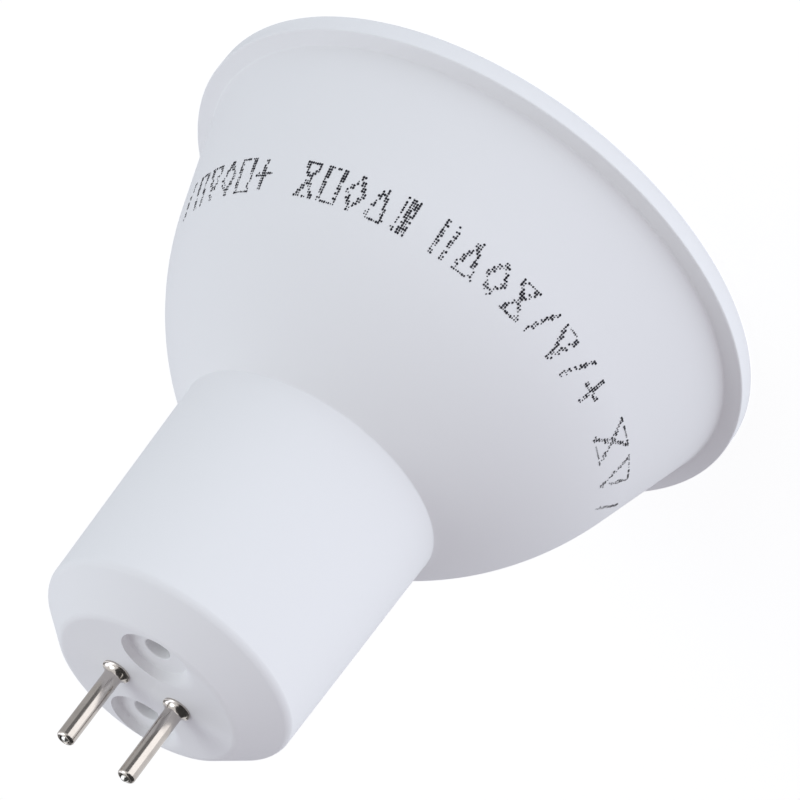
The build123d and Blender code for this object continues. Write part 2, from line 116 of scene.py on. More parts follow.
class Bench:
    """Moves of the modelling bench that the pieces share."""

    @staticmethod
    def clear_scene() -> None:
        """Removes whatever the start-up file holds."""
        bpy.ops.object.select_all(action="SELECT")
        bpy.ops.object.delete()

    @staticmethod
    def activate(piece: bpy.types.Object) -> None:
        """Selects one piece alone and makes it the active one.

        Args:
            piece: The piece to work on.
        """
        bpy.ops.object.select_all(action="DESELECT")
        piece.select_set(True)
        bpy.context.view_layer.objects.active = piece

    @staticmethod
    def open(name: str) -> bpy.types.Object:
        """Takes the primitive that was just added, names it and opens it in edit mode.

        Args:
            name: Name of the new piece.

        Returns:
            The piece, with its place moved into its mesh and everything in it selected.
        """
        piece = bpy.context.object
        piece.name = name
        piece.data.name = name
        Bench.activate(piece)
        bpy.ops.object.transform_apply(location=True, rotation=True, scale=True)
        bpy.ops.object.mode_set(mode="EDIT")
        bpy.ops.mesh.select_mode(type=Element.CORNER.value)
        bpy.ops.mesh.select_all(action="SELECT")
        return piece

    @staticmethod
    def close() -> None:
        """Leaves edit mode."""
        bpy.ops.object.mode_set(mode="OBJECT")

    @staticmethod
    def pick(piece: bpy.types.Object, kind: Element, wanted: Callable[[Vector], bool]) -> None:
        """Selects the corners or faces of an open piece by their place.

        Args:
            piece: The piece in edit mode.
            kind: Which elements to look at.
            wanted: Test on a corner's place or a face's middle, in millimetres.
        """
        bpy.ops.mesh.select_mode(type=kind.value)
        bpy.ops.mesh.select_all(action="DESELECT")
        mesh = bmesh.from_edit_mesh(piece.data)
        for item in mesh.verts if kind is Element.CORNER else mesh.faces:
            place = item.co if kind is Element.CORNER else item.calc_center_median()
            item.select = not item.hide and wanted(place / MM)
        mesh.select_flush_mode()
        bmesh.update_edit_mesh(piece.data)

    @staticmethod
    def combine(piece: bpy.types.Object, tool: bpy.types.Object, way: Joinery) -> None:
        """Joins a tool body to a piece, or cuts it out, and removes the tool.

        Args:
            piece: The piece that is worked on.
            tool: The closed body that works on it.
            way: Whether the tool is joined or cut out.
        """
        Bench.activate(piece)
        bpy.ops.object.modifier_add(type="BOOLEAN")
        modifier = piece.modifiers[-1]
        modifier.operation = way.value
        modifier.solver = "MANIFOLD"
        modifier.object = tool
        bpy.ops.object.modifier_apply(modifier=modifier.name)
        bpy.data.objects.remove(tool, do_unlink=True)

    @staticmethod
    def smooth(piece: bpy.types.Object, edge_angle: float) -> None:
        """Shades a piece smooth up to an edge angle, with its large faces kept flat.

        Args:
            piece: The finished piece.
            edge_angle: Angle in degrees above which an edge stays sharp.
        """
        Bench.activate(piece)
        bpy.ops.object.shade_smooth_by_angle(angle=math.radians(edge_angle))
        bpy.ops.object.modifier_add(type="WEIGHTED_NORMAL")
        modifier = piece.modifiers[-1]
        modifier.mode = "FACE_AREA"
        modifier.keep_sharp = True
        bpy.ops.object.modifier_apply(modifier=modifier.name)

    @staticmethod
    def box(name: str, low: Place, high: Place) -> bpy.types.Object:
        """Models an upright block between two corners.

        Args:
            name: Name of the block.
            low: Its lowest corner in millimetres.
            high: Its highest corner in millimetres.

        Returns:
            The block.
        """
        middle = (Vector(low) + Vector(high)) * (MM / 2)
        bpy.ops.mesh.primitive_cube_add(size=MM, location=middle)
        block = Bench.open(name)
        bpy.ops.transform.resize(value=Vector(high) - Vector(low), center_override=middle)
        Bench.close()
        return block

    @staticmethod
    def copy(piece: bpy.types.Object, name: str, shift: Place) -> bpy.types.Object:
        """Copies a piece, with a mesh of its own, to another place.

        Args:
            piece: The finished piece.
            name: Name of the copy.
            shift: Way from the piece to the copy in millimetres.

        Returns:
            The copy.
        """
        Bench.activate(piece)
        bpy.ops.object.duplicate()
        twin = Bench.open(name)
        bpy.ops.transform.translate(value=Vector(shift) * MM)
        Bench.close()
        return twin


class TurnedForm:
    """A half profile, drawn corner by corner beside an upright axis and spun about it."""

    def __init__(self, name: str, start: Point, axis: Point = (0.0, 0.0)) -> None:
        """Starts the profile with one point.

        Args:
            name: Name of the piece.
            start: Radius and height of the first point.
            axis: Where the axis stands, in x and y.
        """
        self.axis = axis
        self.end = start
        bpy.ops.mesh.primitive_plane_add(size=MM, location=self._place(start))
        self.piece = Bench.open(name)
        bpy.ops.mesh.merge(type="CENTER")

    def _place(self, point: Point) -> Vector:
        """Point of the profile in the lamp's frame, in metres."""
        return Vector((self.axis[0] + point[0], self.axis[1], point[1])) * MM

    def line(self, *points: Point) -> "TurnedForm":
        """Extrudes the profile's end from point to point.

        Args:
            points: Radius and height of each next corner.

        Returns:
            The form itself.
        """
        for point in points:
            step = self._place(point) - self._place(self.end)
            bpy.ops.mesh.extrude_region_move(TRANSFORM_OT_translate={"value": step})
            self.end = point
        return self

    def arc(self, centre: Point, sweep: float, steps: int) -> "TurnedForm":
        """Spins the profile's end about a centre.

        Args:
            centre: Radius and height of the arc's centre.
            sweep: Angle in degrees, positive from outwards to upwards.
            steps: Number of chords.

        Returns:
            The form itself.
        """
        turn = math.radians(sweep)
        bpy.ops.mesh.spin(steps=steps, angle=turn, center=self._place(centre), axis=(0, 1, 0))
        dr, dz = self.end[0] - centre[0], self.end[1] - centre[1]
        cos, sin = math.cos(turn), math.sin(turn)
        self.end = (centre[0] + dr * cos - dz * sin, centre[1] + dr * sin + dz * cos)
        return self

    def soften(self, corner: Point, radius: float, segments: int) -> "TurnedForm":
        """Rounds one corner of the drawn profile.

        Args:
            corner: Radius and height of the corner.
            radius: Radius of the round.
            segments: Number of chords of the round.

        Returns:
            The form itself.
        """
        place = self._place(corner) / MM
        Bench.pick(self.piece, Element.CORNER, lambda co: (co - place).length < TINY)
        mesh = bmesh.from_edit_mesh(self.piece.data)
        vertex = next(v for v in mesh.verts if v.select)
        sides = [edge.other_vert(vertex).co - vertex.co for edge in vertex.link_edges]
        turn = math.pi - sides[0].angle(sides[1])
        bpy.ops.mesh.bevel(
            offset=radius * MM * math.tan(turn / 2),
            offset_type="OFFSET",
            segments=segments,
            profile=0.5,
            affect="VERTICES",
        )
        return self

    def spin(self, steps: int, sweep: float = 360.0) -> bpy.types.Object:
        """Spins the profile about its axis.

        Args:
            steps: Number of faces around.
            sweep: Angle of the spin in degrees, positive clockwise from above.

        Returns:
            The turned piece, closed and with its faces outwards.
        """
        bpy.ops.mesh.select_all(action="SELECT")
        centre = self._place((0.0, 0.0))
        bpy.ops.mesh.spin(steps=steps, angle=math.radians(sweep), center=centre, axis=(0, 0, 1))
        bpy.ops.mesh.select_all(action="SELECT")
        bpy.ops.mesh.remove_doubles(threshold=MERGE * MM)
        bpy.ops.mesh.normals_make_consistent(inside=False)
        Bench.close()
        return self.piece


class Scalar:
    """A number that varies over a surface; arithmetic on it adds Math nodes."""

    def __init__(self, graph: "NodeGraph", socket: bpy.types.NodeSocket) -> None:
        """Wraps a node's output."""
        self.graph = graph
        self.socket = socket

    def _math(self, operation: str, *terms: "Scalar | float") -> "Scalar":
        """Math node over the given terms."""
        node = self.graph.node("ShaderNodeMath", {"operation": operation}, dict(enumerate(terms)))
        return Scalar(self.graph, node.outputs[0])

    def __add__(self, other: "Scalar | float") -> "Scalar":
        """Sum."""
        return self._math("ADD", self, other)

    def __sub__(self, other: "Scalar | float") -> "Scalar":
        """Difference."""
        return self._math("SUBTRACT", self, other)

    def __mul__(self, other: "Scalar | float") -> "Scalar":
        """Product."""
        return self._math("MULTIPLY", self, other)

    def __radd__(self, other: float) -> "Scalar":
        """Sum with a plain number first."""
        return self._math("ADD", other, self)

    def __rsub__(self, other: float) -> "Scalar":
        """Difference with a plain number first."""
        return self._math("SUBTRACT", other, self)

    def __rmul__(self, other: float) -> "Scalar":
        """Product with a plain number first."""
        return self._math("MULTIPLY", other, self)

    def step(self, start: float, end: float) -> "Scalar":
        """Smooth step from 0 at start to 1 at end.

        Args:
            start: Value at which the step begins.
            end: Value at which it ends.

        Returns:
            The step as a number from 0 to 1.
        """
        node = self.graph.node(
            "ShaderNodeMapRange",
            {"interpolation_type": "SMOOTHSTEP"},
            {"Value": self, "From Min": start, "From Max": end},
        )
        return Scalar(self.graph, node.outputs["Result"])


class NodeGraph:
    """Nodes of one material or of the world."""

    def __init__(self, tree: bpy.types.NodeTree) -> None:
        """Takes the node tree that the nodes go into."""
        self.tree = tree

    def node(
        self, kind: str, settings: dict[str, object] | None = None, sockets: dict | None = None
    ) -> bpy.types.Node:
        """Adds a node.

        Args:
            kind: The node's type.
            settings: Its settings, set first.
            sockets: Values or links of its inputs, by name or number.

        Returns:
            The node.
        """
        node = self.tree.nodes.new(kind)
        for name, value in (settings or {}).items():
            setattr(node, name, value)
        for key, value in (sockets or {}).items():
            self.feed(node.inputs[key], value)
        return node

    def feed(self, socket: bpy.types.NodeSocket, value: object) -> None:
        """Links or sets one input.

        Args:
            socket: The input.
            value: A Scalar or an output socket to link, or a plain value.
        """
        if isinstance(value, Scalar):
            value = value.socket
        if isinstance(value, bpy.types.NodeSocket):
            self.tree.links.new(value, socket)
        elif socket.type == "RGBA" and len(value) == 3:
            socket.default_value = (*value, 1.0)
        else:
            socket.default_value = value

    def blend(self, mask: Scalar, first: object, second: object) -> bpy.types.NodeSocket:
        """Colour that goes from first to second with the mask."""
        node = self.node("ShaderNodeMix", {"data_type": "RGBA"}, {0: mask, 6: first, 7: second})
        return node.outputs[2]

    def shown_rays(self) -> Scalar:
        """Picks the rays that show the studio: straight to the camera, or in metal and glass.

        Returns:
            1 for these rays and 0 for the rest.
        """
        rays = self.node("ShaderNodeLightPath")
        camera, glossy, clear = (
            Scalar(self, rays.outputs[f"Is {kind} Ray"]) for kind in ("Camera", "Glossy", "Transmission")
        )
        return camera + glossy + clear


class FinishGraph(NodeGraph):
    """Nodes of one finish, ending in a Principled shader."""

    def __init__(self, name: str) -> None:
        """Starts the finish's material.

        Args:
            name: Name of the material.
        """
        self.material = bpy.data.materials.new(name)
        self.material.use_nodes = True
        super().__init__(self.material.node_tree)
        self.shader = self.tree.nodes["Principled BSDF"]
        self.place = self.node("ShaderNodeTexCoord").outputs["Object"]

    def put(self, **sockets: object) -> None:
        """Feeds the shader's inputs, named with underscores for spaces."""
        for name, value in sockets.items():
            self.feed(self.shader.inputs[name.replace("_", " ")], value)

    def mapped(self, centre: Place = (0, 0, 0), stretch: Place = (1, 1, 1)) -> bpy.types.NodeSocket:
        """Object coordinates about a centre, each axis multiplied by its stretch.

        Args:
            centre: The centre in millimetres.
            stretch: Factors on the axes.

        Returns:
            The coordinates.
        """
        shift = tuple(-MM * c * s for c, s in zip(centre, stretch))
        return self.node(
            "ShaderNodeMapping", None, {"Vector": self.place, "Location": shift, "Scale": stretch}
        ).outputs[0]

    def noise(self, size: float, detail: float = 2.0, stretch: Place = (1, 1, 1)) -> Scalar:
        """Cloudy noise.

        Args:
            size: Size of its clouds in millimetres.
            detail: How many finer layers it has.
            stretch: Factors on the coordinates' axes.

        Returns:
            The noise, from 0 to 1.
        """
        node = self.node(
            "ShaderNodeTexNoise",
            None,
            {"Vector": self.mapped(stretch=stretch), "Scale": 1 / (size * MM), "Detail": detail},
        )
        return Scalar(self, node.outputs["Fac"])

    def specks(self, pitch: float, size: float, share: float, core: float = 0.6) -> Scalar:
        """Sparse round specks.

        Args:
            pitch: Size of the cells that may hold one, in millimetres.
            size: Radius of a speck in millimetres.
            share: Share of the cells that hold one.
            core: Share of the radius over which a speck is full.

        Returns:
            1 inside a speck and 0 elsewhere.
        """
        node = self.node("ShaderNodeTexVoronoi", None, {"Vector": self.place, "Scale": 1 / (pitch * MM)})
        tint = self.node("ShaderNodeSeparateColor", None, {"Color": node.outputs["Color"]})
        near = 1 - Scalar(self, node.outputs["Distance"]).step(core * size / pitch, size / pitch)
        return near * Scalar(self, tint.outputs["Red"]).step(1 - share, 1 - share + TINY)

    def bands(self, axis: str, scale: float, waver: float) -> Scalar:
        """Bands across an axis.

        Args:
            axis: The axis that the bands follow one another along.
            scale: Scale of the bands.
            waver: How far they waver.

        Returns:
            The bands, from 0 to 1.
        """
        sockets = {"Vector": self.place, "Scale": scale, "Distortion": waver}
        node = self.node("ShaderNodeTexWave", {"bands_direction": axis}, sockets)
        return Scalar(self, node.outputs["Fac"])

    def relief(self, height: Scalar, depth: float) -> None:
        """Feeds a bump of the given depth in millimetres to the shader."""
        bump = self.node("ShaderNodeBump", None, {"Height": height, "Distance": depth * MM})
        self.put(Normal=bump.outputs["Normal"])

    def coordinate(self, axis: str) -> Scalar:
        """One object coordinate, in millimetres."""
        parts = self.node("ShaderNodeSeparateXYZ", None, {"Vector": self.place})
        return Scalar(self, parts.outputs[axis]) * (1 / MM)


@dataclass(frozen=True)
class Finish:
    """Two tones under one grain; the second lies over the first in soft patches."""

    name: str
    first: Colour
    second: Colour
    roughness: float
    grain_size: float = 0.25
    grain_detail: float = 3.0
    grain_depth: float = 0.004
    gloss_swing: float = 0.15
    patch_size: float = 1.5
    patch_range: Point = (0.35, 0.75)
    patch_cover: float = 1.0
    metallic: float = 0.0
    ior: float = 1.5
    specular: float = 0.5

    def _patches(self, graph: FinishGraph) -> Scalar:
        """Noise of the soft patches."""
        return graph.noise(self.patch_size, detail=3.0)

    def _grain(self, graph: FinishGraph) -> Scalar:
        """Fine grain that gives unevenness to the gloss and the relief."""
        return graph.noise(self.grain_size, self.grain_detail)

    def _mask(self, graph: FinishGraph, grain: Scalar) -> Scalar:
        """Where the second tone lies, from 0 to 1."""
        return self._patches(graph).step(*self.patch_range) * self.patch_cover

    def _tone(self, graph: FinishGraph, grain: Scalar) -> bpy.types.NodeSocket:
        """Colour of the surface."""
        return graph.blend(self._mask(graph, grain), self.first, self.second)

    def _dullness(self, graph: FinishGraph, grain: Scalar) -> Scalar:
        """Roughness of the surface, which swings with the grain."""
        return self.roughness + self.gloss_swing * (grain - 0.5)

    def make(self) -> bpy.types.Material:
        """Makes the finish.

        Returns:
            Its material.
        """
        graph = FinishGraph(self.name)
        grain = self._grain(graph)
        graph.put(
            Base_Color=self._tone(graph, grain),
            Roughness=self._dullness(graph, grain),
            Metallic=self.metallic,
            IOR=self.ior,
            Specular_IOR_Level=self.specular,
        )
        graph.relief(grain, self.grain_depth)
        return graph.material


@dataclass(frozen=True)
class MouldedPlastic(Finish):
    """Satin moulded plastic with a fine mould grain and a few specks."""

    grain_size: float = 0.12
    grain_detail: float = 4.0
    grain_depth: float = 0.002
    gloss_swing: float = 0.10
    patch_size: float = 9.0
    patch_range: Point = (0.3, 0.7)
    ior: float = 1.46
    speck: Colour = (0.12, 0.12, 0.13)
    speck_cover: float = 0.75
    speck_pitch: float = 3.0
    speck_radius: float = 0.09
    speck_share: float = 0.012

    def _tone(self, graph: FinishGraph, grain: Scalar) -> bpy.types.NodeSocket:
        """Colour of the plastic and its specks."""
        specks = graph.specks(self.speck_pitch, self.speck_radius, self.speck_share)
        return graph.blend(specks * self.speck_cover, super()._tone(graph, grain), self.speck)


@dataclass(frozen=True)
class MilkyCover(Finish):
    """Frosted milky plastic through which the ring of light sources shows faintly."""

    grain_size: float = 0.2
    grain_depth: float = 0.003
    gloss_swing: float = 0.12
    patch_range: Point = (0.1, 1.0)
    patch_cover: float = 0.4
    ior: float = 1.49
    ring_radius: float = 13.5
    spot_radius: float = 4.0
    count: int = 12

    def _spot(self, graph: FinishGraph, index: int) -> Scalar:
        """Shine of one light source through the cover.

        Args:
            graph: The cover's nodes.
            index: Number of the light source in its ring.

        Returns:
            1 before the source's middle, falling to 0 around it.
        """
        angle = math.tau * (index + 0.5) / self.count
        centre = (self.ring_radius * math.cos(angle), self.ring_radius * math.sin(angle), 0.0)
        stretch = 1 / (self.spot_radius * MM)
        place = graph.mapped(centre, (stretch, stretch, 0.0))
        spot = graph.node("ShaderNodeTexGradient", {"gradient_type": "SPHERICAL"}, {"Vector": place})
        return Scalar(graph, spot.outputs["Fac"])

    def _patches(self, graph: FinishGraph) -> Scalar:
        """Shine of all light sources."""
        first, *others = (self._spot(graph, index) for index in range(self.count))
        return sum(others, first)


@dataclass(frozen=True)
class BrightMetal(Finish):
    """Bare or plated metal with drawing lines along one axis and a little tarnish."""

    grain_size: float = 0.05
    grain_detail: float = 2.0
    grain_depth: float = 0.0008
    gloss_swing: float = 0.10
    patch_size: float = 1.6
    patch_range: Point = (0.45, 0.8)
    patch_cover: float = 0.6
    metallic: float = 1.0
    line_stretch: Place = (1.0, 1.0, 0.04)
    tarnish_dullness: float = 0.06

    def _grain(self, graph: FinishGraph) -> Scalar:
        """Drawing lines."""
        return graph.noise(self.grain_size, self.grain_detail, self.line_stretch)

    def _dullness(self, graph: FinishGraph, grain: Scalar) -> Scalar:
        """Roughness, a little more under tarnish."""
        return super()._dullness(graph, grain) + self.tarnish_dullness * self._patches(graph)


@dataclass(frozen=True)
class BoardLaminate(Finish):
    """Solder mask over a woven laminate, with the weave just showing."""

    grain_depth: float = 0.003
    patch_size: float = 0.8
    patch_cover: float = 0.7
    gloss_swing: float = 0.12
    thread: float = 0.8
    thread_scale: float = 0.05
    waver: float = 0.6

    def _grain(self, graph: FinishGraph) -> Scalar:
        """Weave of threads both ways."""
        return graph.bands("X", self._scale, self.waver) * graph.bands("Z", self._scale, self.waver)

    def _mask(self, graph: FinishGraph, grain: Scalar) -> Scalar:
        """The weave shows through the mask."""
        return grain * self.patch_cover

    def _dullness(self, graph: FinishGraph, grain: Scalar) -> Scalar:
        """Roughness, more in patches."""
        return self.roughness + self.gloss_swing * graph.noise(self.patch_size)

    @property
    def _scale(self) -> float:
        """Scale of the thread bands."""
        return self.thread_scale / (self.thread * MM)


@dataclass(frozen=True)
class LightPackage(Finish):
    """White light-source package with a yellow phosphor window."""

    grain_size: float = 0.15
    window_z: float = 4.5
    window_edge: Point = (0.02, 0.06)
    grit_cover: float = 0.25

    def _mask(self, graph: FinishGraph, grain: Scalar) -> Scalar:
        """Gritty phosphor at the window's height.

        Args:
            graph: The package's nodes.
            grain: The grit.

        Returns:
            Up to 1 in the window and 0 on the case.
        """
        height = graph.coordinate("Z")
        inner, outer = self.window_edge
        below = height.step(self.window_z - outer, self.window_z - inner)
        above = height.step(self.window_z + inner, self.window_z + outer)
        return below * (1 - above) * (1 - self.grit_cover + self.grit_cover * grain)


@dataclass(frozen=True)
class WoundCopper(Finish):
    """Enamelled copper wire, wound turn beside turn about an axis along Y, with the gaps between turns
    darkened by painted shade.
    """

    grain_depth: float = 0.06
    gloss_swing: float = -0.1
    patch_range: Point = (0.1, 0.6)
    metallic: float = 0.9
    wire: float = 0.3
    turn_scale: float = 0.314
    waver: float = 0.2

    def _grain(self, graph: FinishGraph) -> Scalar:
        """Crests of the turns."""
        return graph.bands("Y", self.turn_scale / (self.wire * MM), self.waver)

    def _mask(self, graph: FinishGraph, grain: Scalar) -> Scalar:
        """Bright copper on the crests; the darker tone in the gaps is painted shade."""
        return grain.step(*self.patch_range)


WHITE_PLASTIC = MouldedPlastic("satin_white", (0.858, 0.864, 0.89), (0.872, 0.878, 0.905), 0.42)
NICKEL = BrightMetal("bright_nickel", (0.53, 0.495, 0.468), (0.40, 0.37, 0.345), 0.14)
SOLDER = BrightMetal("solder", (0.80, 0.79, 0.77), (0.60, 0.59, 0.57), 0.18)
INK = Finish(
    "dot_ink",
    (0.012, 0.012, 0.018),
    (0.10, 0.10, 0.13),
    roughness=0.6,
    grain_size=0.35,
    gloss_swing=0.2,
    patch_size=0.35,
    patch_range=(0.5, 0.8),
    patch_cover=0.7,
    specular=0.2,
)
INNER_FINISHES = {
    Slot.COVER: MilkyCover("milky_frost", (0.88, 0.885, 0.89), (0.86, 0.80, 0.62), 0.36),
    Slot.ALUMINIUM: BrightMetal(
        "pressed_sheet", (0.78, 0.79, 0.80), (0.66, 0.67, 0.68), 0.32, 0.4, line_stretch=(1.0, 1.0, 0.2)
    ),
    Slot.LIGHT_BOARD: BoardLaminate("white_mask", (0.84, 0.85, 0.84), (0.76, 0.77, 0.77), 0.34),
    Slot.LIGHT_SOURCE: LightPackage("light_package", (0.85, 0.84, 0.80), (0.85, 0.62, 0.08), 0.42),
    Slot.ZINC: BrightMetal("zinc_screw", (0.62, 0.63, 0.64), (0.48, 0.49, 0.52), 0.28),
    Slot.DRIVER_BOARD: BoardLaminate(
        "green_mask", (0.02, 0.16, 0.06), (0.04, 0.24, 0.09), 0.34, thread=0.6
    ),
    Slot.SLEEVE: Finish("printed_sleeve", (0.015, 0.017, 0.03), (0.03, 0.035, 0.055), 0.3),
    Slot.FERRITE: Finish("ferrite_grey", (0.045, 0.045, 0.048), (0.075, 0.073, 0.07), 0.65, 0.12),
    # The copper's darker first tone is painted shade in the gaps between the turns.
    Slot.COPPER: WoundCopper("wound_copper", (0.25, 0.08, 0.03), (0.80, 0.36, 0.16), 0.33),
    Slot.FILM: Finish("film_case", (0.36, 0.07, 0.02), (0.44, 0.11, 0.04), 0.34),
    Slot.ENAMEL: Finish("resistor_coat", (0.10, 0.30, 0.42), (0.14, 0.36, 0.48), 0.4),
    Slot.EPOXY: Finish("black_moulding", (0.012, 0.012, 0.013), (0.024, 0.024, 0.025), 0.55, 0.1),
    Slot.TIN: BrightMetal("tinned_lead", (0.74, 0.73, 0.70), (0.55, 0.54, 0.52), 0.25),
    Slot.RED: Finish("red_jacket", (0.50, 0.02, 0.02), (0.58, 0.04, 0.03), 0.45),
    Slot.BLACK: Finish("black_jacket", (0.014, 0.014, 0.014), (0.03, 0.03, 0.03), 0.45),
}


@dataclass
class Housing:
    """The white moulded shell: rim, bowl, neck and chamfered end with two vacant stepped holes."""

    rim_radius: float = 25.0
    rim_edge: float = 1.55
    flange_width: float = 1.5
    flange_rise: float = 0.2
    bowl_draft: float = 17.4
    bowl_cone_height: float = 9.3
    bowl_height: float = 22.9
    neck_root_radius: float = 11.25
    neck_length: float = 19.48
    neck_draft: float = 1.55
    end_chamfer_height: float = 2.77
    end_face_radius: float = 7.75
    wall: float = 1.4
    end_wall: float = 2.2
    rim_land: float = 2.1
    cover_seat_depth: float = 1.2
    cover_ledge: float = 1.3
    cover_bore_depth: float = 4.4
    groove: tuple[float, float, float] = (2.65, 3.45, 0.45)
    boss_depth: float = 5.0
    pin_spacing: float = 5.33
    pin_bore_radius: float = 0.745
    pin_boss_radius: float = 1.8
    vacant_spacing: float = 10.1
    vacant_shift: float = 0.1
    vacant_mouth_radius: float = 2.6
    vacant_mouth_depth: float = 0.85
    vacant_hole_radius: float = 1.05
    vacant_hole_depth: float = 3.6
    vacant_ramp: tuple[Point, ...] = ((-0.5, 0.12), (-0.25, 0.4), (-0.08, 0.7), (-0.02, 1.0), (0.06, 1.8))
    vacant_boss_radius: float = 2.1
    rib_reach: Point = (8.1, 10.05)
    rib_rows: tuple[Point, Point] = ((-3.55, -2.65), (-1.35, -0.45))
    rib_gaps: Point = (0.3, 0.2)
    end_round: float = 0.8
    neck_end_round: float = 1.0
    neck_root_round: float = 0.15
    flange_round: float = 0.2
    rim_round: float = 0.15
    boss_round: float = 0.25
    vacant_ledge_round: float = 0.12
    vacant_bottom_round: float = 0.3
    vacant_flare: float = 0.06
    bore_overshoot: float = 1.0
    bowl_chords: tuple[int, int] = (28, 14)
    steps: int = 192
    bore_steps: int = 48
    vacant_steps: int = 72
    edge_angle: float = 38.0

    def __post_init__(self) -> None:
        """Works out the heights and radii that follow from the sizes."""
        draft = math.radians(self.bowl_draft)
        self.bowl_mouth = (self.rim_radius - self.flange_width, self.rim_edge + self.flange_rise)
        self.cone_end = (
            self.bowl_mouth[0] - self.bowl_cone_height * math.tan(draft),
            self.bowl_mouth[1] + self.bowl_cone_height,
        )
        self.neck_root = (self.neck_root_radius, self.bowl_mouth[1] + self.bowl_height)
        self.neck_end = (
            self.neck_root_radius - self.neck_length * math.tan(math.radians(self.neck_draft)),
            self.neck_root[1] + self.neck_length,
        )
        self.face_z = self.neck_end[1] + self.end_chamfer_height
        step_r = self.neck_root[0] - self.cone_end[0]
        step_z = self.neck_root[1] - self.cone_end[1]
        across = step_r * math.cos(draft) + step_z * math.sin(draft)
        self.arc_radius = -(step_r**2 + step_z**2) / (2 * across)
        self.arc_centre = (
            self.cone_end[0] - self.arc_radius * math.cos(draft),
            self.cone_end[1] - self.arc_radius * math.sin(draft),
        )

    def arc_angle(self, point: Point) -> float:
        """Angle in degrees at which a point stands about the bowl arc's centre."""
        return math.degrees(math.atan2(point[1] - self.arc_centre[1], point[0] - self.arc_centre[0]))

    def arc_point(self, height: float, proud: float = 0.0) -> Point:
        """Point of the bowl's rounded part at a height.

        Args:
            height: Height of the point on the surface itself.
            proud: How far the point stands off the surface.

        Returns:
            Radius and height of the point.
        """
        angle = math.asin((height - self.arc_centre[1]) / self.arc_radius)
        reach = self.arc_radius + proud
        return (
            self.arc_centre[0] + reach * math.cos(angle),
            self.arc_centre[1] + reach * math.sin(angle),
        )

    def _shell(self) -> bpy.types.Object:
        """Turns the shell, outside and inside in one profile.

        Returns:
            The shell, still without bosses, ribs and holes.
        """
        draft = math.radians(self.bowl_draft)
        inner = self.arc_radius - self.wall
        seat = self.rim_radius - self.rim_land
        bore = seat - self.cover_ledge
        groove_start, groove_end, groove_depth = self.groove
        rise = self.cover_bore_depth - self.bowl_mouth[1]
        cone_inside = self.bowl_mouth[0] - rise * math.tan(draft) - self.wall / math.cos(draft)
        cone_inside_end = (
            self.arc_centre[0] + inner * math.cos(draft),
            self.arc_centre[1] + inner * math.sin(draft),
        )
        root_inside = self.neck_root[0] - self.wall
        root_inside_angle = math.degrees(math.acos((root_inside - self.arc_centre[0]) / inner))
        slope = (self.neck_end[0] - self.end_face_radius) / self.end_chamfer_height
        inset = self.wall * math.hypot(1, slope)
        ceiling = self.face_z - self.end_wall
        form = TurnedForm("housing_shell", (0.0, self.face_z))
        form.line((self.end_face_radius, self.face_z), self.neck_end, self.neck_root)
        form.arc(self.arc_centre, self.bowl_draft - self.arc_angle(self.neck_root), self.bowl_chords[0])
        form.line(
            self.bowl_mouth,
            (self.rim_radius, self.rim_edge),
            (self.rim_radius, 0.0),
            (seat, 0.0),
            (seat, self.cover_seat_depth),
            (bore, self.cover_seat_depth),
            (bore, groove_start),
            (bore + groove_depth, groove_start),
            (bore + groove_depth, groove_end),
            (bore, groove_end),
            (bore, self.cover_bore_depth),
            (cone_inside, self.cover_bore_depth),
            cone_inside_end,
        )
        form.arc(self.arc_centre, root_inside_angle - self.bowl_draft, self.bowl_chords[1])
        form.line(
            (self.neck_end[0] - self.wall, self.neck_end[1] + (self.wall - inset) / slope),
            (self.neck_end[0] - inset - (ceiling - self.neck_end[1]) * slope, ceiling),
            (0.0, ceiling),
        )
        for corner, radius, chords in (
            ((self.end_face_radius, self.face_z), self.end_round, 6),
            (self.neck_end, self.neck_end_round, 8),
            (self.neck_root, self.neck_root_round, 4),
            (self.bowl_mouth, self.flange_round, 6),
            ((self.rim_radius, self.rim_edge), self.rim_round, 5),
            ((self.rim_radius, 0.0), self.rim_round, 5),
            ((seat, 0.0), self.rim_round, 3),
        ):
            form.soften(corner, radius, chords)
        return form.spin(self.steps)

    def _boss(self, radius: float, axis: Point) -> bpy.types.Object:
        """Turns a boss under the end wall.

        Args:
            radius: Radius of the boss.
            axis: Where it stands, in x and y.

        Returns:
            The boss.
        """
        floor = self.face_z - self.boss_depth
        top = self.face_z - self.end_wall / 2
        form = TurnedForm("boss", (0.0, floor), axis)
        form.line((radius, floor), (radius, top), (0.0, top))
        return form.soften((radius, floor), self.boss_round, 3).spin(self.bore_steps)

